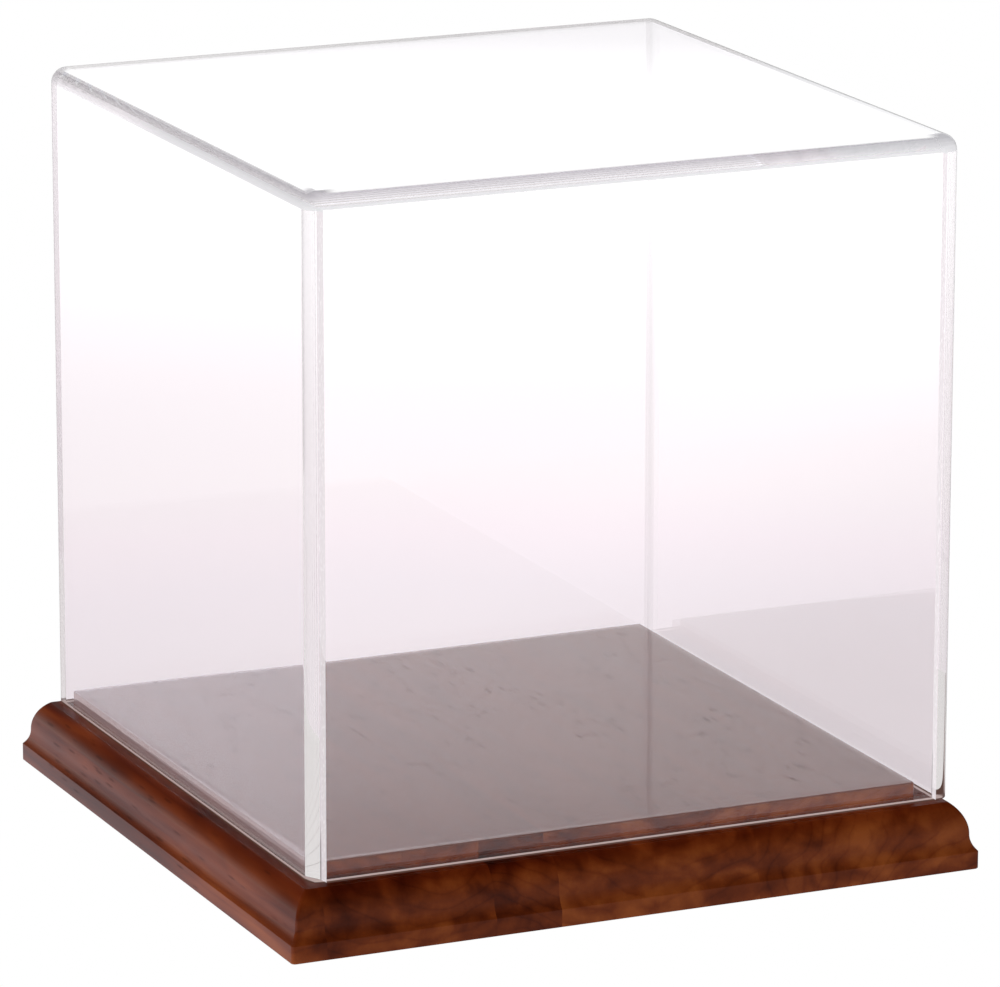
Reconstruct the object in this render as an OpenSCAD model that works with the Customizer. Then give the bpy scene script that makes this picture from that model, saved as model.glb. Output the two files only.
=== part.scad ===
// Acrylic display cube: a clear five-panel cover that lifts off a moulded wooden base.
// Millimetres, +Z up. The origin is on the resting plane, under the middle of the base.
// The front faces -Y, and the grain of the wood runs from front to back, along Y.

/* [Cover] */
// Inside width and depth of the cover
inside_w = 200; // [160:1:300]
// Inside height of the cover, from the ledge to the underside of the top
inside_h = 200; // [120:1:350]
// Thickness of the acrylic sheet, and the radius of the cover's rounded outer edges
sheet_t = 5; // [3:0.5:8]

/* [Base] */
// Height of the ledge under the cover, from the underside of the wood
ledge_h = 20; // [18:0.5:30]
// Height of the display plinth above the ledge
plinth_h = 5.5; // [3:0.5:12]
// Clearance between the plinth and the inside of the cover, on each side of a centred cover
cover_gap = 3; // [0.5:0.5:5]
// How far off centre the loose cover stands, to the right and back, as a share of the clearance
cover_off = 0.93; // [0:0.01:0.95]
// Widths of the first four staves of the board, from the left. The fifth takes the rest.
stave_w = [11, 54, 21, 65]; // [5:1:65]

/* [Moulding] */
// How far the foot of the moulding stands out past the cover, on each side
moulding_reach = 7.5; // [6:0.5:14]
// Width of the flat ledge that shows outside the cover
ledge_lip = 0.3; // [0.1:0.1:2]
// Height of the plain fillet at the foot of the moulding
fillet_h = 5.5; // [3:0.5:8]
// Height of the waist where the hollow cove meets the round ovolo
waist_h = 10.5; // [9:0.5:14]
// How far the waist stands in from the fillet
waist_in = 2.1; // [1:0.1:3]
// Radius of the upright corners of the board
board_corner_r = 1.2; // [0.5:0.1:2]

/* [Foot pads] */
// Diameter of each felt pad
pad_d = 14; // [8:1:25]
// Thickness of each felt pad
pad_t = 1; // [0.5:0.5:4]
// Distance from the side of the base to the middle of a pad
pad_in = 20; // [16:1:40]

/* [Hidden] */
$fn = 96;
cover_w = inside_w + 2 * sheet_t;
base_w = cover_w + 2 * moulding_reach;
plinth_w = inside_w - 2 * cover_gap;
cover_shift = cover_off * cover_gap;

// The cove springs from the top of the fillet and the ovolo from the edge of the ledge.
// Both are upright where they meet at the waist, which fixes their radii.
ledge_in = moulding_reach - ledge_lip;
cove_rise = waist_h - fillet_h;
cove_r = (waist_in * waist_in + cove_rise * cove_rise) / (2 * waist_in);
ovolo_run = ledge_in - waist_in;
ovolo_rise = ledge_h - waist_h;
ovolo_r = (ovolo_run * ovolo_run + ovolo_rise * ovolo_rise) / (2 * ovolo_run);

wood_z = pad_t;
ledge_z = wood_z + ledge_h;
ceiling_z = ledge_z + inside_h;

// Left side of each stave, and the right side of the last one
stave_count = len(stave_w) + 1;
stave_x = [
    -base_w / 2,
    -base_w / 2 + stave_w[0],
    -base_w / 2 + stave_w[0] + stave_w[1],
    -base_w / 2 + stave_w[0] + stave_w[1] + stave_w[2],
    -base_w / 2 + stave_w[0] + stave_w[1] + stave_w[2] + stave_w[3],
    base_w / 2
];

// ---- Base ----

// Section of the moulded board: across the page is the width, and up the page is the height.
module board_section() {
    cove_x = base_w / 2 - waist_in + cove_r;
    ovolo_x = base_w / 2 - waist_in - ovolo_r;
    difference() {
        translate([-base_w / 2, 0])
            square([base_w, waist_h]);
        for (side = [-1, 1])
            translate([side * cove_x, waist_h])
                circle(r = cove_r);
    }
    intersection() {
        translate([-base_w / 2, waist_h])
            square([base_w, ovolo_rise]);
        union() {
            translate([-ovolo_x, waist_h])
                square([2 * ovolo_x, ovolo_rise]);
            for (side = [-1, 1])
                translate([side * ovolo_x, waist_h])
                    circle(r = ovolo_r);
        }
    }
}

// Plan of the board: a square with slightly rounded corners.
module board_plan() {
    straight = base_w - 2 * board_corner_r;
    square([base_w, straight], center = true);
    square([straight, base_w], center = true);
    for (x = [-1, 1], y = [-1, 1])
        translate([x * straight / 2, y * straight / 2])
            circle(r = board_corner_r);
}

// The section swept along Y.
module board_bar() {
    rotate([90, 0, 0])
        translate([0, 0, -base_w / 2])
            linear_extrude(base_w)
                board_section();
}

// The whole glued-up board: moulded on all four sides, with mitred corners and the plinth on top.
module board() {
    intersection() {
        board_bar();
        rotate([0, 0, 90])
            board_bar();
        linear_extrude(ledge_h)
            board_plan();
    }
    translate([-plinth_w / 2, -plinth_w / 2, ledge_h])
        cube([plinth_w, plinth_w, plinth_h]);
}

// One stave: the strip of the board between two glue lines.
module base_stave(number) {
    left = stave_x[number - 1];
    width = stave_x[number] - left;
    color("saddlebrown")
        translate([0, 0, wood_z])
            intersection() {
                board();
                translate([left, -base_w / 2, 0])
                    cube([width, base_w, ledge_h + plinth_h]);
            }
}

// A round felt pad under one corner. The signs choose the corner: -1 is left or front.
module foot_pad(side_x, side_y) {
    place = base_w / 2 - pad_in;
    color("dimgray")
        translate([side_x * place, side_y * place, 0])
            cylinder(d = pad_d, h = pad_t);
}

// ---- Cover ----

// Puts a sheet of the cover, drawn round the origin, where the loose cover stands.
module on_ledge(height) {
    translate([cover_shift, cover_shift, height])
        children();
}

// A quarter of a disc, with its centre at the origin and both straight sides on the axes.
module quarter_disc() {
    intersection() {
        circle(r = sheet_t);
        square(sheet_t);
    }
}

// The top covers the ends of all four walls. Its rim is rounded through the whole thickness.
module cover_top() {
    core = inside_w;
    color("white", 0.3)
        on_ledge(ceiling_z) {
            translate([-core / 2, -core / 2, 0])
                cube([core, core, sheet_t]);
            for (turn = [0:90:270])
                rotate([0, 0, turn]) {
                    translate([core / 2, core / 2, 0])
                        rotate([90, 0, 0])
                            linear_extrude(core)
                                quarter_disc();
                    translate([core / 2, core / 2, 0])
                        rotate_extrude(angle = 90)
                            quarter_disc();
                }
        }
}

// A side wall runs the full depth, and both of its ends are rounded into the corners.
module side_wall() {
    linear_extrude(inside_h) {
        translate([inside_w / 2, -inside_w / 2])
            square([sheet_t, inside_w]);
        translate([inside_w / 2, inside_w / 2])
            quarter_disc();
        translate([inside_w / 2, -inside_w / 2])
            mirror([0, 1])
                quarter_disc();
    }
}

module cover_right() {
    color("white", 0.3)
        on_ledge(ledge_z)
            side_wall();
}

module cover_left() {
    color("white", 0.3)
        on_ledge(ledge_z)
            mirror([1, 0, 0])
                side_wall();
}

// The front and back walls fit between the side walls.
module cross_wall() {
    translate([-inside_w / 2, inside_w / 2, 0])
        cube([inside_w, sheet_t, inside_h]);
}

module cover_back() {
    color("white", 0.3)
        on_ledge(ledge_z)
            cross_wall();
}

module cover_front() {
    color("white", 0.3)
        on_ledge(ledge_z)
            mirror([0, 1, 0])
                cross_wall();
}

base_stave(1);  // base_stave_1
base_stave(2);  // base_stave_2
base_stave(3);  // base_stave_3
base_stave(4);  // base_stave_4
base_stave(5);  // base_stave_5
foot_pad(-1, -1);  // foot_pad_front_left
foot_pad(1, -1);  // foot_pad_front_right
foot_pad(-1, 1);  // foot_pad_back_left
foot_pad(1, 1);  // foot_pad_back_right
cover_top();
cover_front();
cover_back();
cover_left();
cover_right();
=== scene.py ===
"""Looks of the acrylic display cube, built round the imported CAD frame. Metres, +Z up, the front faces -Y."""
import math

import bmesh
import bpy
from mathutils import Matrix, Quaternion, Vector


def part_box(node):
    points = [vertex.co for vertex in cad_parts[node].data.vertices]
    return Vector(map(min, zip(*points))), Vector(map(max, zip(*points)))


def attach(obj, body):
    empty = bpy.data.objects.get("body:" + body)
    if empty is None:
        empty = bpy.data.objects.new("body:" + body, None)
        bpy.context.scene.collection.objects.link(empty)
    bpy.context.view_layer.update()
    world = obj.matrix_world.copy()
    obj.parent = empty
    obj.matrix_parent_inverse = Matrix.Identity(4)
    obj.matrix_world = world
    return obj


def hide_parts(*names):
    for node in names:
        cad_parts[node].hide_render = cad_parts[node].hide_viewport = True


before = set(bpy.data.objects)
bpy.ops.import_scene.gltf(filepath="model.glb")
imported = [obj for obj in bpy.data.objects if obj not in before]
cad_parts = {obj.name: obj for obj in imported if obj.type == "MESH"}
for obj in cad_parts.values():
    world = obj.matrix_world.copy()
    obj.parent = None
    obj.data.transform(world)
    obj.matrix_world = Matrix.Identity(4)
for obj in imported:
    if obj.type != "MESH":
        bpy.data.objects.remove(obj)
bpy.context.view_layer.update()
MM = 0.001

# ---- Sizes, from the CAD frame ----

STAVES = [f"base_stave_{i}" for i in range(1, 6)]
PADS = [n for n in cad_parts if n.startswith("foot_pad")]
wood_lo, wood_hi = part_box("base_stave_3")
top_lo, top_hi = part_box("cover_top")
BASE_HALF = wood_hi.y  # half the width of the base
WOOD_Z = wood_lo.z  # underside of the wood
PLINTH_Z = wood_hi.z  # top of the plinth
LEDGE_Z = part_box("cover_right")[0].z  # the ledge that the cover stands on
CEILING_Z = top_lo.z  # underside of the top sheet
SHEET = top_hi.z - top_lo.z  # thickness of the acrylic
INSIDE_HALF = (top_hi.x - top_lo.x) / 2 - SHEET  # half the width inside the cover

# Where the loose cover stands
COVER_MIDDLE = Vector(((top_lo.x + top_hi.x) / 2, (top_lo.y + top_hi.y) / 2, 0))

# The moulding, as the CAD has it
FILLET_H = 5.5 * MM
WAIST_H = 10.5 * MM
WAIST_IN = 2.1 * MM
LEDGE_IN = 7.2 * MM
PLINTH_HALF = 97 * MM


# ---- Mesh helpers ----

def make_object(name, bm, materials, body, sharp=35):
    """An object from bm, smooth but for its arrises. With a body, it rides on that CAD body."""
    mesh = bpy.data.meshes.new(name)
    bm.to_mesh(mesh)
    bm.free()
    for material in materials:
        mesh.materials.append(material)
    mesh.shade_smooth()
    mesh.set_sharp_from_angle(angle=math.radians(sharp))
    obj = bpy.data.objects.new(name, mesh)
    bpy.context.scene.collection.objects.link(obj)
    if body:
        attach(obj, body)
    return obj


def ring_points(half, radius, z, steps):
    """Points round a square with round corners, anticlockwise from above."""
    points = []
    for k, (sx, sy) in enumerate(((1, -1), (1, 1), (-1, 1), (-1, -1))):
        cx, cy = sx * (half - radius), sy * (half - radius)
        for i in range(steps + 1):
            a = math.radians(90 * (k - 1) + 90 * i / steps)
            points.append((cx + radius * math.cos(a), cy + radius * math.sin(a), z))
    return points


def add_ring(bm, points):
    return [bm.verts.new(p) for p in points]


def bridge(bm, low, high, slot=0):
    """Faces between two rings of the same count, facing outwards when high is above low."""
    faces = []
    for i in range(len(low)):
        j = (i + 1) % len(low)
        faces.append(bm.faces.new((low[i], low[j], high[j], high[i])))
        faces[-1].material_index = slot
    return faces


def stack(bm, rings, slot=0):
    """Bridges each ring to the next one up."""
    for low, high in zip(rings, rings[1:]):
        bridge(bm, low, high, slot)


def underside(bm, ring):
    """A face over ring, looking down."""
    return bm.faces.new(list(reversed(ring)))


MERGE = 1e-7  # points closer than this are one


def clean(bm):
    bmesh.ops.remove_doubles(bm, verts=bm.verts, dist=MERGE)
    bmesh.ops.dissolve_degenerate(bm, edges=bm.edges, dist=MERGE)
    bmesh.ops.recalc_face_normals(bm, faces=bm.faces)


def rounded(points, radius):
    """A section (list of (inset, height)) with every real corner eased by a small arc."""
    arc_steps = 4
    out = [points[0]]
    for i in range(1, len(points) - 1):
        a, b, c = (Vector((*points[i + k], 0)) for k in (-1, 0, 1))
        into, away = (b - a), (c - b)
        turn = into.angle(away)
        if turn < math.radians(20):
            out.append(points[i])
            continue
        reach = min(radius * math.tan(turn / 2), 0.45 * into.length, 0.45 * away.length)
        p0, p1 = b - into.normalized() * reach, b + away.normalized() * reach
        for k in range(arc_steps + 1):
            t = k / arc_steps
            q = p0 * (1 - t) ** 2 + b * 2 * t * (1 - t) + p1 * t * t
            out.append((q.x, q.y))
    out.append(points[-1])
    return out


# ---- Base ----

EASING = 0.45 * MM  # how far every corner of the moulding is sanded
TURN_IN = 3 * MM  # the section's flat ends, below and on the plinth
COVE_STEPS = 12
OVOLO_STEPS = 18
CORNER_STEPS = 8


def moulding_section():
    """(inset from the base's edge, height above the wood's underside) from the foot to the plinth's top."""
    ledge, top = LEDGE_Z - WOOD_Z, PLINTH_Z - WOOD_Z
    cove_rise, ovolo_run = WAIST_H - FILLET_H, LEDGE_IN - WAIST_IN
    ovolo_rise = ledge - WAIST_H
    cove_r = (WAIST_IN**2 + cove_rise**2) / (2 * WAIST_IN)
    ovolo_r = (ovolo_run**2 + ovolo_rise**2) / (2 * ovolo_run)
    points = [(TURN_IN, 0), (0, 0), (0, FILLET_H)]
    for i in range(1, COVE_STEPS + 1):
        a = math.asin(cove_rise / cove_r) * (1 - i / COVE_STEPS)
        points.append((WAIST_IN - cove_r + cove_r * math.cos(a), WAIST_H - cove_r * math.sin(a)))
    for i in range(1, OVOLO_STEPS + 1):
        a = math.asin(ovolo_rise / ovolo_r) * i / OVOLO_STEPS
        points.append((WAIST_IN + ovolo_r - ovolo_r * math.cos(a), WAIST_H + ovolo_r * math.sin(a)))
    plinth_in = BASE_HALF - PLINTH_HALF
    points += [(plinth_in, ledge), (plinth_in, top), (plinth_in + TURN_IN, top)]
    return rounded(points, EASING)


def corner_radius(inset):
    """The mitres are sanded a little rounder towards the foot."""
    if inset > LEDGE_IN + 1 * MM:
        return 0.7 * MM
    return (1.2 - 0.5 * inset / LEDGE_IN) * MM


def board_mesh():
    """The whole base as one closed mesh, before it is cut into its staves."""
    bm = bmesh.new()
    rings = []
    for inset, height in moulding_section():
        points = ring_points(BASE_HALF - inset, corner_radius(inset), WOOD_Z + height, CORNER_STEPS)
        rings.append(add_ring(bm, points))
    stack(bm, rings)
    underside(bm, rings[0])
    bm.faces.new(rings[-1])
    clean(bm)
    return bm


def cut_stave(board, left, right):
    """The closed part of the board between two glue lines."""
    bm = board.copy()
    for x, side in ((left, -1), (right, 1)):
        on_board_side = abs(abs(x) - BASE_HALF) < 10 * MERGE
        if on_board_side:
            continue
        geom = bm.verts[:] + bm.edges[:] + bm.faces[:]
        cut = bmesh.ops.bisect_plane(
            bm, geom=geom, dist=MERGE, plane_co=(x, 0, 0), plane_no=(side, 0, 0), clear_outer=True
        )
        edges = [e for e in cut["geom_cut"] if isinstance(e, bmesh.types.BMEdge)]
        bmesh.ops.edgeloop_fill(bm, edges=edges)
    bmesh.ops.recalc_face_normals(bm, faces=bm.faces)
    return bm


def pad_mesh(node):
    """A round felt pad with an eased foot and a slightly ragged edge."""
    sides = 96
    lo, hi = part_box(node)
    cx, cy, r = (lo.x + hi.x) / 2, (lo.y + hi.y) / 2, (hi.x - lo.x) / 2
    section = [(0.35, 0), (0.1, 0.12), (0, 0.35), (0, 0.75), (0.05, (hi.z - lo.z) / MM)]
    bm = bmesh.new()
    rings = []
    for inset, height in section:
        ring = []
        for i in range(sides):
            a = 2 * math.pi * i / sides
            # two waves of up to 0.1 mm round the edge, starting at a different place on each pad
            wobble = 0.05 * (1 + math.sin(7 * a + cx * 900) * math.sin(13 * a + cy * 700))
            q = r - (inset + wobble) * MM
            ring.append((cx + q * math.cos(a), cy + q * math.sin(a), lo.z + height * MM))
        rings.append(add_ring(bm, ring))
    stack(bm, rings)
    underside(bm, rings[0])
    bm.faces.new(rings[-1])
    bmesh.ops.recalc_face_normals(bm, faces=bm.faces)
    return bm


# ---- Cover ----

ARC = 40  # steps in each quarter round of the acrylic
FOOT_GAP = 0.02 * MM  # keeps the sawn edges just off the lacquer
GLUED, SAWN, BUFFED = 1, 2, 3  # material slots of a sheet; 0 is its polished faces


def top_sheet():
    """The top: flat below, with a rim rounded through the whole thickness."""
    bm = bmesh.new()
    inner = add_ring(bm, ring_points(INSIDE_HALF, 0, CEILING_Z, ARC))
    rings = []
    for i in range(ARC + 1):
        a = math.radians(90 * i / ARC)
        reach = SHEET * math.cos(a)
        height = CEILING_Z + SHEET * math.sin(a)
        rings.append(add_ring(bm, ring_points(INSIDE_HALF + reach, reach, height, ARC)))
    bridge(bm, inner, rings[0], GLUED)
    stack(bm, rings, BUFFED)
    bm.faces.new(rings[-1])
    underside(bm, inner)
    clean(bm)
    return bm


def upright_sheet(plan, slot):
    """A wall drawn in plan, from just above the ledge to the top sheet, and the faces round it."""
    bm = bmesh.new()
    low = add_ring(bm, [(x, y, LEDGE_Z + FOOT_GAP) for x, y in plan])
    high = add_ring(bm, [(x, y, CEILING_Z) for x, y in plan])
    sides = bridge(bm, low, high, slot)
    underside(bm, low).material_index = SAWN
    bm.faces.new(high).material_index = GLUED
    return bm, sides


def side_wall(side):
    """A left (-1) or right (1) wall with rounded upright ends."""
    plan = [(INSIDE_HALF, INSIDE_HALF), (INSIDE_HALF, -INSIDE_HALF), (INSIDE_HALF, -INSIDE_HALF - SHEET)]
    quarter = [math.radians(90 * i / ARC) for i in range(ARC + 1)]
    for a in quarter[1:]:
        plan.append((INSIDE_HALF + SHEET * math.sin(a), -INSIDE_HALF - SHEET * math.cos(a)))
    for a in quarter:
        plan.append((INSIDE_HALF + SHEET * math.cos(a), INSIDE_HALF + SHEET * math.sin(a)))
    bm, sides = upright_sheet([(side * x, y) for x, y in plan], BUFFED)
    sides[0].material_index = sides[ARC + 2].material_index = 0
    sides[1].material_index = sides[-1].material_index = GLUED
    clean(bm)
    return bm


def cross_wall(side):
    """A front (-1) or back (1) wall between the side walls."""
    front, back = sorted((side * INSIDE_HALF, side * (INSIDE_HALF + SHEET)))
    plan = [(-INSIDE_HALF, front), (INSIDE_HALF, front), (INSIDE_HALF, back), (-INSIDE_HALF, back)]
    bm, sides = upright_sheet(plan, 0)
    sides[1].material_index = sides[3].material_index = GLUED
    clean(bm)
    return bm


# ---- Node helpers ----

def new_tree(name):
    material = bpy.data.materials.new(name)
    material.use_nodes = True
    tree = material.node_tree
    tree.nodes.clear()
    return material, tree


def add(tree, kind, inputs=None, **props):
    """A node. Inputs are plain values or sockets to link."""
    n = tree.nodes.new(kind)
    for key, value in props.items():
        setattr(n, key, value)
    for key, value in (inputs or {}).items():
        if isinstance(value, bpy.types.NodeSocket):
            tree.links.new(value, n.inputs[key])
        else:
            n.inputs[key].default_value = value
    return n


def show(tree, shader):
    add(tree, "ShaderNodeOutputMaterial", {"Surface": shader.outputs[0]})


def glow(tree, colour, strength=1.0):
    return add(tree, "ShaderNodeEmission", {"Color": colour, "Strength": strength})


def between(tree, share, first, second):
    """first where share is 0, second where it is 1."""
    return add(tree, "ShaderNodeMixShader", {0: share, 1: first.outputs[0], 2: second.outputs[0]})


def place_of(tree):
    """The point being shaded, in the CAD's frame."""
    return add(tree, "ShaderNodeTexCoord").outputs["Object"]


def split(tree, vector):
    return add(tree, "ShaderNodeSeparateXYZ", {0: vector}).outputs


def calc(tree, operation, a, b=0.0, c=0.0):
    return add(tree, "ShaderNodeMath", {0: a, 1: b, 2: c}, operation=operation).outputs[0]


def vector_calc(tree, operation, a, b=(0, 0, 0), output="Vector"):
    return add(tree, "ShaderNodeVectorMath", {0: a, 1: b}, operation=operation).outputs[output]


def scaled(tree, vector, scale, shift=(0, 0, 0)):
    n = add(tree, "ShaderNodeMapping", {"Vector": vector, "Scale": scale, "Location": shift})
    return n.outputs[0]


def noise(tree, vector, detail=2.0, roughness=0.5, distortion=0.0, output="Fac"):
    inputs = {"Vector": vector, "Scale": 1.0, "Detail": detail}
    inputs.update({"Roughness": roughness, "Distortion": distortion})
    return add(tree, "ShaderNodeTexNoise", inputs).outputs[output]


def ramp(tree, fac, stops, mode="LINEAR"):
    """A colour ramp; a stop is (position, grey level or colour)."""
    n = add(tree, "ShaderNodeValToRGB", {"Fac": fac})
    n.color_ramp.interpolation = mode
    while len(n.color_ramp.elements) < len(stops):
        n.color_ramp.elements.new(0.5)
    for element, (position, value) in zip(n.color_ramp.elements, stops):
        element.position = position
        element.color = (value, value, value, 1) if isinstance(value, (int, float)) else (*value, 1)
    return n.outputs["Color"]


def blend(tree, mode, fac, a, b):
    n = add(tree, "ShaderNodeMix", data_type="RGBA", blend_type=mode)
    for key, value in ((0, fac), (6, a), (7, b)):
        if isinstance(value, bpy.types.NodeSocket):
            tree.links.new(value, n.inputs[key])
        else:
            n.inputs[key].default_value = value if key == 0 else (*value, 1)
    return n.outputs[2]


def spread(tree, fac, low, high):
    """fac from low..high to 0..1, smoothly."""
    n = add(tree, "ShaderNodeMapRange", {"Value": fac, "From Min": low, "From Max": high})
    n.interpolation_type = "SMOOTHSTEP"
    return n.outputs["Result"]


def straight(tree, fac, low, high):
    """fac from low..high to 0..1, in proportion."""
    n = add(tree, "ShaderNodeMapRange", {"Value": fac, "From Min": low, "From Max": high})
    return n.outputs["Result"]


# ---- Wood ----

# The stain, from the dark lines of the grain to its lightest clouds, by how light the grain is
STAIN = [
    (0.22, (0.040, 0.004, 0.0008)),
    (0.42, (0.115, 0.0165, 0.003)),
    (0.60, (0.225, 0.041, 0.007)),
    (0.80, (0.38, 0.092, 0.018)),
]
# Darkness across one growth ring
RING = [(0.0, 0.2), (0.10, 0.5), (0.5, 0.62), (0.86, 0.55), (1.0, 0.2)]
WANDER = 22.0  # how far the rings drift along the board, in millimetres


def growth_rings(tree, place, mm, heart, gap):
    """Rings round the tree's heart. They wander, and show as arcs on the ends and long streaks on top."""
    drift = noise(tree, scaled(tree, mm, (0.03, 0.006, 0.05)), output="Color")
    drift = vector_calc(tree, "SUBTRACT", drift, (0.5, 0.5, 0.5))
    drift = vector_calc(tree, "MULTIPLY", drift, (WANDER, WANDER, WANDER))
    own = scaled(tree, place, (1000, 1000, 1000), (-heart[0], 0, -heart[1]))
    own = vector_calc(tree, "ADD", own, drift)
    flat = vector_calc(tree, "MULTIPLY", own, (1, 0, 1))
    reach = vector_calc(tree, "LENGTH", flat, output="Value")
    turn = calc(tree, "FRACT", calc(tree, "DIVIDE", reach, gap))
    return ramp(tree, turn, RING, "B_SPLINE")


def open_pores(tree, mm, depth):
    """Pores, cut lengthwise on the top and the sides, and closed by the lacquer on the end grain."""
    cells = add(tree, "ShaderNodeTexVoronoi", {"Vector": scaled(tree, mm, (0.7, 0.09, 0.7)), "Scale": 1.0})
    pore = spread(tree, cells.outputs["Distance"], 0.36, 0.16)
    pore = calc(tree, "MULTIPLY", pore, spread(tree, cells.outputs["Color"], 0.50, 0.72))
    from_middle = calc(tree, "ABSOLUTE", depth)
    return calc(tree, "MULTIPLY", pore, spread(tree, from_middle, BASE_HALF - 5 * MM, BASE_HALF - 10 * MM))


def grain(tree, place, mm, heart, ring_gap, tone):
    """How light the wood is: rings, clouds of stain, mottle and fibres together."""
    cloud = noise(tree, scaled(tree, mm, (0.075, 0.010, 0.11)), distortion=0.4)
    mottle = noise(tree, scaled(tree, mm, (0.16, 0.03, 0.10)), roughness=0.45, distortion=0.8)
    fibre = noise(tree, scaled(tree, mm, (1.1, 0.035, 1.1)), roughness=0.6)
    mixed = calc(tree, "MULTIPLY", cloud, 0.90)
    mixed = calc(tree, "MULTIPLY_ADD", growth_rings(tree, place, mm, heart, ring_gap), 0.22, mixed)
    mixed = calc(tree, "MULTIPLY_ADD", mottle, 0.20, mixed)
    mixed = calc(tree, "MULTIPLY_ADD", fibre, 0.08, mixed)
    return calc(tree, "ADD", mixed, tone - 0.70)


def wood_material(name, seed, heart, ring_gap, tone):
    """Stained, lacquered hardwood. heart is where the tree's heart lay (x, z in mm), tone lightens it."""
    material, tree = new_tree(name)
    place = place_of(tree)
    at = split(tree, place)
    # millimetres, moved on by the seed, so that each stave has a figure of its own
    mm = scaled(tree, place, (1000, 1000, 1000), (seed * 37.0, seed * 91.0, seed * 13.0))
    pore = open_pores(tree, mm, at["Y"])
    mixed = grain(tree, place, mm, heart, ring_gap, tone)

    # the plinth's top is planed and evenly stained; painted shade darkens the upper moulding and the ledge
    # below the plinth
    on_top = spread(tree, at["Z"], PLINTH_Z - 0.6 * MM, PLINTH_Z - 0.2 * MM)
    on_top = calc(tree, "MULTIPLY", on_top, 0.8)
    mixed = add(tree, "ShaderNodeMix", {0: on_top, 2: mixed, 3: 0.55}, data_type="FLOAT").outputs[0]
    painted_ledge_shade = spread(tree, at["Z"], WOOD_Z + 15 * MM, LEDGE_Z - 0.5 * MM)
    above_ledge = spread(tree, at["Z"], LEDGE_Z + 1.2 * MM, LEDGE_Z + 0.3 * MM)
    painted_ledge_shade = calc(tree, "MULTIPLY", painted_ledge_shade, above_ledge)

    colour = ramp(tree, mixed, STAIN)
    colour = blend(tree, "MULTIPLY", calc(tree, "MULTIPLY", pore, 0.5), colour, (0.3, 0.25, 0.25))
    # painted shade on the upper moulding and the ledge
    colour = blend(tree, "MULTIPLY", painted_ledge_shade, colour, (0.60, 0.42, 0.36))

    # painted reflection on the plinth's left side, which stands close behind the wall: a lighter grey-pink
    # colour and a higher coat IOR
    outwards = spread(tree, at["X"], -PLINTH_HALF + 0.5 * MM, -PLINTH_HALF + 0.2 * MM)
    painted_flank_reflection = calc(tree, "MULTIPLY", outwards, spread(tree, at["Z"], LEDGE_Z, LEDGE_Z + 0.6 * MM))
    colour = blend(tree, "MIX", calc(tree, "MULTIPLY", painted_flank_reflection, 0.45), colour, (0.40, 0.31, 0.32))

    # the painted shade and the open pores lose the coat; the planed top and the painted shade lose some shine
    pores_and_painted_shade = calc(tree, "MAXIMUM", calc(tree, "MULTIPLY", pore, 0.45), painted_ledge_shade)
    dull_top_and_painted_shade = calc(tree, "MAXIMUM", on_top, painted_ledge_shade)
    sunk = calc(tree, "MULTIPLY", pore, -1.0)
    bump = add(tree, "ShaderNodeBump", {"Height": sunk, "Strength": 0.06, "Distance": 0.05 * MM})
    shader = add(
        tree,
        "ShaderNodeBsdfPrincipled",
        {
            "Base Color": colour,
            "Roughness": 0.32,
            "IOR": 1.5,
            "Specular IOR Level": calc(tree, "MULTIPLY_ADD", dull_top_and_painted_shade, -0.17, 0.2),
            "Specular Tint": (1.0, 0.42, 0.25, 1),
            "Coat Weight": calc(tree, "SUBTRACT", 1.0, pores_and_painted_shade),
            "Coat Roughness": 0.06,
            # the painted reflection on the plinth's left side raises the coat IOR
            "Coat IOR": calc(tree, "MULTIPLY_ADD", painted_flank_reflection, 0.5, 1.5),
            "Normal": bump.outputs[0],
        },
    )
    show(tree, shader)
    return material


# ---- Acrylic ----

# Painted shade on the rim, as a tint, from the seam up to the flat of the top
RIM_PAINTED_SHADE = [
    (0.0, (0.97, 0.97, 0.97)),
    (0.30, (0.88, 0.88, 0.885)),
    (0.55, (0.68, 0.675, 0.69)),
    (0.75, (0.49, 0.485, 0.51)),
    (0.95, (0.43, 0.425, 0.45)),
]


def paint_rim(tree, shader, tint):
    """The left and front roundings of the top: painted shade, clear at the seam and greyer upwards, and a
    painted highlight glowing white on the shoulder.
    """
    place = place_of(tree)
    own = vector_calc(tree, "SUBTRACT", place, COVER_MIDDLE)
    at = split(tree, own)
    nearest = calc(tree, "MINIMUM", at["X"], at["Y"])
    here = spread(tree, nearest, -INSIDE_HALF + 0.2 * MM, -INSIDE_HALF - 0.2 * MM)
    up = straight(tree, at["Z"], CEILING_Z, CEILING_Z + SHEET)
    streaks = noise(tree, scaled(tree, place, (12, 12, 2600)))
    streaky = calc(tree, "MULTIPLY_ADD", calc(tree, "SUBTRACT", streaks, 0.5), 0.35, up)
    # painted shade on the rim, greyer upwards, with streaks
    tint_and_painted_rim_shade = blend(tree, "MIX", here, tint, ramp(tree, streaky, RIM_PAINTED_SHADE))
    tree.links.new(tint_and_painted_rim_shade, shader.inputs["Base Color"])

    # the painted highlight, a white glow on the shoulder, fades out just before each corner of the top
    size = split(tree, vector_calc(tree, "ABSOLUTE", own))
    to_corner = calc(tree, "MINIMUM", size["X"], size["Y"])
    # painted highlight along the rim's shoulder
    lit = calc(tree, "MULTIPLY", spread(tree, up, 0.85, 0.90), here)
    lit = calc(tree, "MULTIPLY", lit, 0.85)
    lit = calc(tree, "MULTIPLY", lit, spread(tree, to_corner, INSIDE_HALF - 1 * MM, INSIDE_HALF - 6 * MM))
    return between(tree, lit, shader, glow(tree, (1.0, 1.0, 1.0, 1), 1.1))


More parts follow.
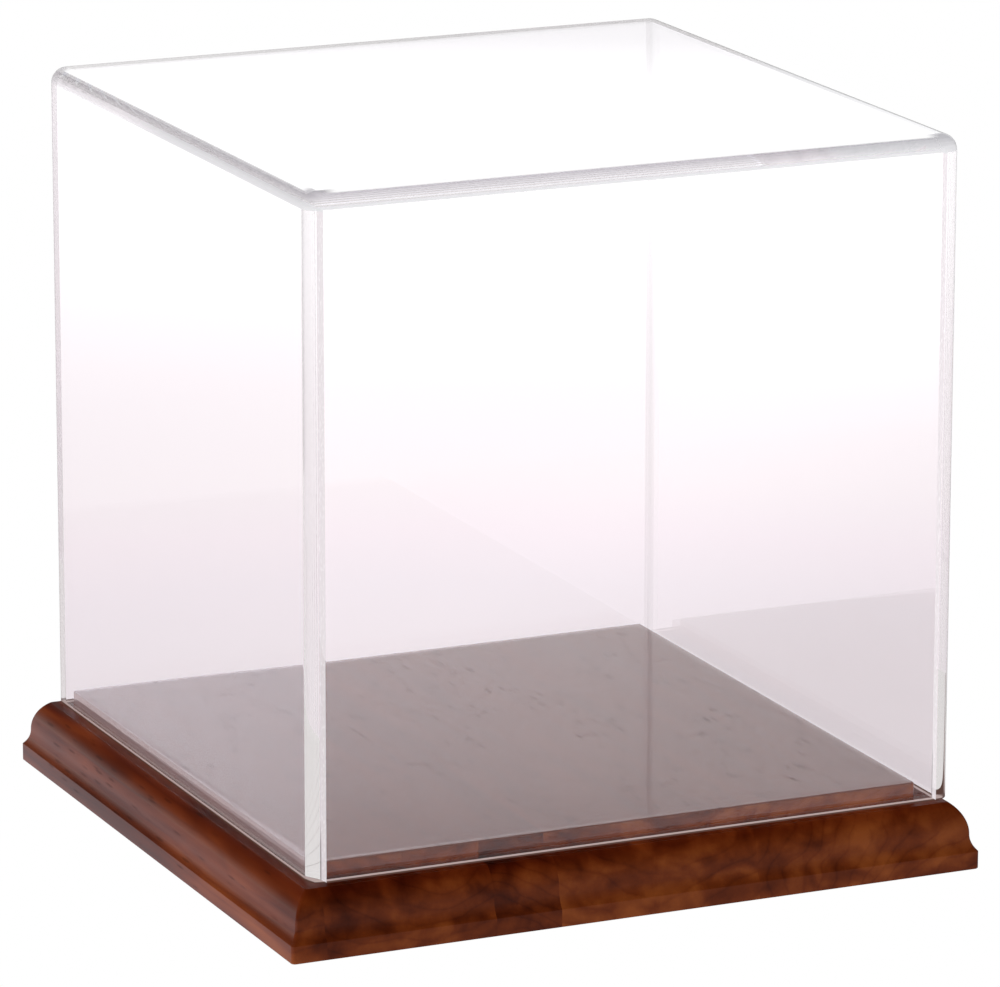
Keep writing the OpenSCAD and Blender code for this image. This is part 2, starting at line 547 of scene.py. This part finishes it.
def clear_material(name, tint, roughness=0.0, rim=False):
    """Clear acrylic. Lamps and bounced light go straight through, so that the base inside is lit."""
    material, tree = new_tree(name)
    shader = add(
        tree,
        "ShaderNodeBsdfPrincipled",
        {"Base Color": (*tint, 1), "Roughness": roughness, "IOR": 1.49, "Transmission Weight": 1.0},
    )
    if rim:
        shader = paint_rim(tree, shader, tint)
    lets_through = add(tree, "ShaderNodeBsdfTransparent", {"Color": (0.94, 0.93, 0.94, 1)})
    path = add(tree, "ShaderNodeLightPath").outputs
    lamp = calc(tree, "MAXIMUM", path["Is Shadow Ray"], path["Is Diffuse Ray"])
    show(tree, between(tree, lamp, shader, lets_through))
    return material


def from_inside(tree, place):
    """Millimetres outwards from the inner faces of the cover."""
    own = vector_calc(tree, "SUBTRACT", place, COVER_MIDDLE)
    size = split(tree, vector_calc(tree, "ABSOLUTE", own))
    out = calc(tree, "SUBTRACT", calc(tree, "MAXIMUM", size["X"], size["Y"]), INSIDE_HALF)
    return calc(tree, "MULTIPLY", out, 1000.0)


def weld_material():
    """The glued faces: a milky cement with small bubbles, and low down a dark line at its inner edge, all
    drawn as a glow, painted light.
    """
    material, tree = new_tree("cemented_joint")
    place = place_of(tree)
    at = split(tree, place)
    out = from_inside(tree, place)
    bubbles = spread(tree, noise(tree, scaled(tree, place, (1100, 1100, 700))), 0.52, 0.70)
    haze = blend(tree, "MIX", bubbles, (0.88, 0.82, 0.85), (1.05, 1.0, 1.03))
    under_top = spread(tree, at["Z"], CEILING_Z - 1 * MM, CEILING_Z - 0.2 * MM)
    haze = blend(tree, "MIX", under_top, haze, (0.84, 0.84, 0.86))
    low_down = spread(tree, at["Z"], LEDGE_Z + 20 * MM, LEDGE_Z + 8 * MM)
    line = calc(tree, "MULTIPLY", spread(tree, out, 0.75, 0.45), low_down)
    haze = blend(tree, "MIX", line, haze, (0.34, 0.31, 0.33))

    # the cement stops just short of the outer faces, and the back corners took less of it
    behind = spread(tree, at["Y"], 0.0, 50 * MM)
    amount = calc(tree, "MULTIPLY_ADD", behind, -0.6, 0.85)
    share = calc(tree, "MULTIPLY", spread(tree, out, 4.8, 4.3), amount)
    clear = add(tree, "ShaderNodeBsdfTransparent", {"Color": (0.97, 0.965, 0.97, 1)})
    # painted light: the cement glows in its own colour instead of being lit
    show(tree, between(tree, share, clear, glow(tree, haze)))
    return material


def sawn_material():
    """The walls' bottom edges, frosted by the saw and drawn mostly as a glow: a painted reflection of the
    brown ledge on the outer part, a lighter painted line on the inner part, milky where they are mirrored.
    """
    material, tree = new_tree("sawn_acrylic")
    place = place_of(tree)
    # painted: a lighter line on the inner part and the ledge's brown reflection on the outer part
    line = spread(tree, from_inside(tree, place), 3.1, 2.3)
    seen = blend(tree, "MIX", line, (0.12, 0.062, 0.050), (0.56, 0.44, 0.42))
    saw = noise(tree, scaled(tree, place, (1800, 1800, 1)), roughness=0.6)
    milky = ramp(tree, saw, [(0.35, (0.84, 0.81, 0.805)), (0.6, (0.96, 0.93, 0.925))])
    mirrored = add(tree, "ShaderNodeLightPath").outputs["Is Reflection Ray"]
    colour = blend(tree, "MIX", mirrored, seen, milky)
    matt = add(tree, "ShaderNodeBsdfDiffuse", {"Color": colour})
    # painted light: the edges glow, four parts in five
    show(tree, between(tree, 0.8, matt, glow(tree, colour)))
    return material


# ---- Felt ----

def felt_material():
    material, tree = new_tree("brown_felt")
    place = place_of(tree)
    fluff = noise(tree, scaled(tree, place, (4000, 4000, 4000)), detail=4.0, roughness=0.7)
    tuft = noise(tree, scaled(tree, place, (700, 700, 700)), detail=3.0, roughness=0.6)
    mixed = calc(tree, "MULTIPLY_ADD", tuft, 0.5, calc(tree, "MULTIPLY", fluff, 0.5))
    colour = ramp(tree, mixed, [(0.3, (0.05, 0.033, 0.027)), (0.7, (0.16, 0.115, 0.095))])
    bump = add(tree, "ShaderNodeBump", {"Height": mixed, "Strength": 0.8, "Distance": 0.3 * MM})
    shader = add(
        tree,
        "ShaderNodeBsdfPrincipled",
        {"Base Color": colour, "Roughness": 0.95, "Sheen Weight": 0.3, "Normal": bump.outputs[0]},
    )
    show(tree, shader)
    return material


# ---- Build the pieces ----

WOODS = [
    wood_material("wood_stave_1", 1, (-90, -60), 4.1, 0.50),
    wood_material("wood_stave_2", 2, (-70, 55), 5.3, 0.555),
    wood_material("wood_stave_3", 3, (-60, -40), 3.7, 0.465),
    wood_material("wood_stave_4", 4, (10, 48), 6.1, 0.61),
    wood_material("wood_stave_5", 5, (130, -30), 5.0, 0.615),
]
EDGE_TINT = (0.87, 0.868, 0.865)
EDGE_ROUGHNESS = 0.025
clear = clear_material("clear_acrylic", (0.997, 0.992, 0.996))
buffed = clear_material("buffed_acrylic_edge", EDGE_TINT, EDGE_ROUGHNESS)
buffed_rim = clear_material("buffed_acrylic_rim", EDGE_TINT, EDGE_ROUGHNESS, rim=True)
weld = weld_material()
sawn = sawn_material()
felt = felt_material()

board = board_mesh()
for node, wood in zip(STAVES, WOODS):
    lo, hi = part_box(node)
    piece = make_object(node.replace("base_", "wood_"), cut_stave(board, lo.x, hi.x), [wood], "base", 30)
    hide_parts(node)
board.free()

for node in PADS:
    piece = make_object(node.replace("foot_", "felt_"), pad_mesh(node), [felt], "base", 50)
    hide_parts(node)

SHEETS = {
    "cover_top": top_sheet(),
    "cover_left": side_wall(-1),
    "cover_right": side_wall(1),
    "cover_front": cross_wall(-1),
    "cover_back": cross_wall(1),
}
for node, bm in SHEETS.items():
    bmesh.ops.translate(bm, verts=bm.verts, vec=COVER_MIDDLE)
    rounding = buffed_rim if node == "cover_top" else buffed
    piece = make_object(node.replace("cover_", "acrylic_"), bm, [clear, weld, sawn, rounding], "cover", 30)
    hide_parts(node)


# ---- Stage ----

# The floor as it shows through the acrylic, by metres from the middle of the case: painted shade, lilac-grey
# near the case and lighter further off
FLOOR_THROUGH = [
    (0.20, (0.97, 0.895, 0.935)),
    (0.28, (1.00, 0.925, 0.975)),
    (0.35, (1.06, 0.965, 1.015)),
    (0.43, (1.09, 1.02, 1.045)),
    (0.56, (1.12, 1.06, 1.09)),
    (0.70, (1.20, 1.15, 1.18)),
    (0.90, (1.33, 1.31, 1.33)),
]
# The backdrop's level by height, as the plinth mirrors it inside the cover
BACKDROP_UP = [
    (0.0, 1.33),
    (0.22, 1.33),
    (0.29, 1.16),
    (0.33, 1.0),
    (0.36, 0.91),
    (0.38, 0.82),
    (0.395, 0.66),
    (0.42, 0.49),
    (0.46, 1.25),
    (1.0, 0.8),
]
# The same when it is mirrored with no acrylic in between, as under the raised cover
BACKDROP_OPEN = [(0.0, 0.26), (0.40, 0.42), (0.46, 1.25), (1.0, 0.8)]
# Its tint from left to right
BACKDROP_ACROSS = [
    (0.0, (1.60, 1.60, 1.76)),
    (0.35, (1.06, 1.04, 1.10)),
    (0.6, (0.98, 0.97, 1.01)),
    (1.0, (0.78, 0.77, 0.82)),
]
BACKDROP_WHITE = (1.33, 1.33, 1.33)  # seen straight through the cover

FLOOR_HALF = 30.0  # half its width
BACKDROP_AWAY = 1.1  # from the middle of the case
BACKDROP_HALF = 0.8  # half its width
BACKDROP_HEIGHT = 1.0
GRADED_HALF = 0.25  # half the width over which its tint changes
heading = math.radians(24.5)  # the way the camera looks, clockwise from +Y
ACROSS = Vector((math.cos(heading), -math.sin(heading), 0))
AHEAD = Vector((math.sin(heading), math.cos(heading), 0))


def stage_sheet(name, corners, look):
    """A flat sheet of the stage that shines as look says and isn't a lamp."""
    bm = bmesh.new()
    bm.faces.new(add_ring(bm, corners))
    material, tree = new_tree(name)
    show(tree, glow(tree, look(tree)))
    material.cycles.emission_sampling = "NONE"
    obj = make_object(name, bm, [material], None)
    return obj


def by_ray(tree, mirrored, through, lighting):
    """The look that each kind of ray finds; the camera's own rays find white."""
    path = add(tree, "ShaderNodeLightPath").outputs
    seen = blend(tree, "MIX", path["Is Transmission Ray"], mirrored, through)
    seen = blend(tree, "MIX", path["Is Diffuse Ray"], seen, lighting)
    return blend(tree, "MIX", path["Is Camera Ray"], seen, (1.0, 1.0, 1.0))


def floor_look(tree):
    """A white table: blown out where it is seen directly; where the object reflects or shows it, painted
    shade, darker near the case and to the front and right.
    """
    place = place_of(tree)
    at = split(tree, place)
    flat = vector_calc(tree, "MULTIPLY", place, (1, 1, 0))
    through = ramp(tree, vector_calc(tree, "LENGTH", flat, output="Value"), FLOOR_THROUGH)
    left = spread(tree, calc(tree, "SUBTRACT", at["Y"], at["X"]), -0.02, 0.03)
    right = spread(tree, calc(tree, "SUBTRACT", at["X"], at["Y"]), -0.15, 0.10)
    # painted shade, darker to the right
    through = blend(tree, "MULTIPLY", right, through, (0.87, 0.87, 0.87))
    mirrored = blend(tree, "MIX", left, (0.13, 0.125, 0.13), (0.37, 0.33, 0.35))
    lighting = blend(tree, "MIX", left, (0.52, 0.50, 0.50), (1.05, 0.99, 0.99))
    return by_ray(tree, mirrored, through, lighting)


def backdrop_look(tree):
    """A lit white backdrop: plain through the cover, graded where the plinth mirrors it in the cover."""
    place = place_of(tree)
    height = split(tree, place)["Z"]
    along = vector_calc(tree, "DOT_PRODUCT", place, ACROSS, "Value")
    side = ramp(tree, straight(tree, along, -GRADED_HALF, GRADED_HALF), BACKDROP_ACROSS)
    graded = blend(tree, "MULTIPLY", 1.0, ramp(tree, height, BACKDROP_UP), side)
    path = add(tree, "ShaderNodeLightPath").outputs
    mirrored = calc(tree, "MINIMUM", path["Glossy Depth"], 1.0)
    inside = blend(tree, "MIX", mirrored, BACKDROP_WHITE, graded)
    return blend(tree, "MIX", path["Is Transmission Ray"], ramp(tree, height, BACKDROP_OPEN), inside)


def sky_look(tree):
    """The room: dim in reflections, brighter as light and through the acrylic, pure white to the camera."""
    at = split(tree, add(tree, "ShaderNodeTexCoord").outputs["Generated"])
    up = at["Z"]
    left = spread(tree, calc(tree, "SUBTRACT", at["Y"], at["X"]), -0.6, 0.6)
    far_left = [(0.0, 0.45), (0.06, 0.3), (0.22, 0.04), (0.35, 0.01), (0.5, 0.07), (0.9, 0.03)]
    far_front = [(0.0, 0.12), (0.2, 0.07), (0.43, 0.04), (0.65, 0.01), (0.95, 0.0)]
    light_left = [(0.0, 0.75), (0.3, 0.5), (0.7, 0.35), (1.0, 0.3)]
    light_front = [(0.0, 0.85), (0.3, 0.5), (0.7, 0.2), (1.0, 0.25)]
    low_white = [(0.0, 1.3), (0.15, 1.2), (0.35, 0.8), (0.6, 0.55), (1.0, 0.45)]
    mirrored = blend(tree, "MIX", left, ramp(tree, up, far_front), ramp(tree, up, far_left))
    lighting = blend(tree, "MIX", left, ramp(tree, up, light_front), ramp(tree, up, light_left))
    return by_ray(tree, mirrored, ramp(tree, up, low_white), lighting)


floor_corners = [(sx * FLOOR_HALF, sy * FLOOR_HALF, 0) for sx, sy in ((-1, -1), (1, -1), (1, 1), (-1, 1))]
stage_sheet("floor", floor_corners, floor_look)

foot_left = AHEAD * BACKDROP_AWAY - ACROSS * BACKDROP_HALF
foot_right = AHEAD * BACKDROP_AWAY + ACROSS * BACKDROP_HALF
rise = Vector((0, 0, BACKDROP_HEIGHT))
backdrop_corners = [foot_left, foot_right, foot_right + rise, foot_left + rise]
backdrop = stage_sheet("backdrop", backdrop_corners, backdrop_look)
backdrop.visible_camera = False

world = bpy.data.worlds.new("studio")
bpy.context.scene.world = world
world.use_nodes = True
world.node_tree.nodes.clear()
sky = add(world.node_tree, "ShaderNodeBackground", {"Color": sky_look(world.node_tree), "Strength": 1.0})
add(world.node_tree, "ShaderNodeOutputWorld", {"Surface": sky.outputs[0]})
world.cycles.sampling_method = "NONE"


def softbox(name, place, side, power):
    """A square soft lamp aimed at the base. It isn't mirrored or seen through the acrylic."""
    aim = Vector((0, 0, 0.05))
    data = bpy.data.lights.new(name, "AREA")
    data.shape = "RECTANGLE"
    data.size = data.size_y = side
    data.energy = power
    lamp = bpy.data.objects.new(name, data)
    lamp.location = place
    lamp.rotation_mode = "QUATERNION"
    lamp.rotation_quaternion = (aim - Vector(place)).to_track_quat("-Z", "Y")
    lamp.visible_glossy = False
    lamp.visible_transmission = False
    bpy.context.scene.collection.objects.link(lamp)


softbox("soft_top", (-0.5, 0.2, 1.7), 1.2, 3)
softbox("soft_left", (-1.8, 0.2, 0.9), 1.0, 6)

# ---- Camera ----

AIM = Vector((0, 0, 0.1135))
AZIMUTH, ELEVATION, ROLL = math.radians(-24.2437), math.radians(14.6396), 0.001392
DISTANCE = 2.07573
SLIDE = Vector((0.003511, -0.009730, 0))  # the photo's framing: right and up, in the camera's own axes
level = math.cos(ELEVATION)
back = Vector((math.sin(AZIMUTH) * level, -math.cos(AZIMUTH) * level, math.sin(ELEVATION)))
turn = back.to_track_quat("Z", "Y") @ Quaternion((0, 0, 1), ROLL)
cam_data = bpy.data.cameras.new("camera")
cam_data.sensor_width = 36
cam_data.lens = 243.753
cam_data.clip_end = 100
cam = bpy.data.objects.new("camera", cam_data)
cam.location = AIM + back * DISTANCE + turn @ SLIDE
cam.rotation_mode = "QUATERNION"
cam.rotation_quaternion = turn
bpy.context.scene.collection.objects.link(cam)
bpy.context.scene.camera = cam

scene = bpy.context.scene
scene.view_settings.view_transform = "Standard"
scene.cycles.max_bounces = 96
scene.cycles.transmission_bounces = 96
scene.cycles.glossy_bounces = 96
scene.cycles.transparent_max_bounces = 32
scene.cycles.diffuse_bounces = 3
scene.cycles.blur_glossy = 0.0
scene.cycles.use_denoising = True
